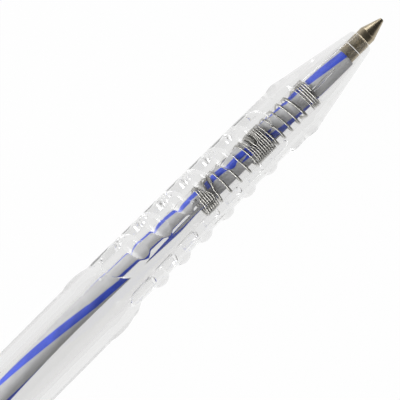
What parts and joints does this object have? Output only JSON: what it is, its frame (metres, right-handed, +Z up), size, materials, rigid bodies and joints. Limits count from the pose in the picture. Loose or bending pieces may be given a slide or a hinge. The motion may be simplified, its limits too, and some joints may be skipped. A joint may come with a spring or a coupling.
{
  "type": "retractable ballpoint pen",
  "caption": "Clear-barrelled click ballpoint pen with bumped grip pads, a visible spring and refill, a cam that turns, a push button and a pocket clip.",
  "frame": {"origin": "bottom centre of the pen's box as it lies on a table, on the ring, the cap and the clip's edge", "axes": "+X along the pen towards the writing point, +Z up, the clip on the -Y side"},
  "size_m": [0.14, 0.013, 0.0104],
  "materials": {
    "clear_plastic": "clear, polished mould",
    "white_plastic": "satin",
    "blue_plastic": "gloss",
    "spring_wire": "drawn wire",
    "refill_plastic": "satin, three twisted blue stripes",
    "ink": "wet paste",
    "point_metal": "turned nickel silver",
    "ball_metal": "polished carbide"
  },
  "bodies": {
    "barrel": {"barrel": "clear_plastic", "cam_sleeve": "white_plastic", "end_cap": "blue_plastic", "return_spring": "spring_wire"},
    "refill": {"refill_tube": "refill_plastic", "ink_column": "ink", "point_socket": "point_metal"},
    "ball": {"writing_ball": "ball_metal"},
    "rotor": {"rotor_cam": "white_plastic"},
    "button": {"push_button": "blue_plastic"},
    "clip": {"pocket_clip": "blue_plastic"}
  },
  "joints": [
    {"name": "refill_slide", "type": "slide", "parent": "barrel", "child": "refill", "axis": [1, 0, 0], "range_m": [-0.0055, 0.001], "deforming": ["return_spring"]},
    {"name": "button_slide", "type": "slide", "parent": "barrel", "child": "button", "axis": [1, 0, 0], "range_m": [-0.0055, 0.001]},
    {"name": "rotor_turn", "type": "hinge", "parent": "refill", "child": "rotor", "pos_m": [-0.03327, 0.00134, 0.00521], "axis": [1, 0, 0], "continuous": true},
    {"name": "ball_roll", "type": "hinge", "parent": "refill", "child": "ball", "pos_m": [0.06965, 0.00134, 0.00521], "axis": [0, 1, 0], "continuous": true},
    {"name": "clip_flex", "type": "hinge", "parent": "barrel", "child": "clip", "pos_m": [-0.05875, -0.00258, 0.0033], "axis": [0, 0.4375, -0.8992], "range_deg": [0, 4], "stiffness_Nm_per_rad": 0.06, "springref_deg": -2.29}
  ],
  "couplings": [
    {"joint": "button_slide", "follows": "refill_slide", "ratio": 1}
  ]
}
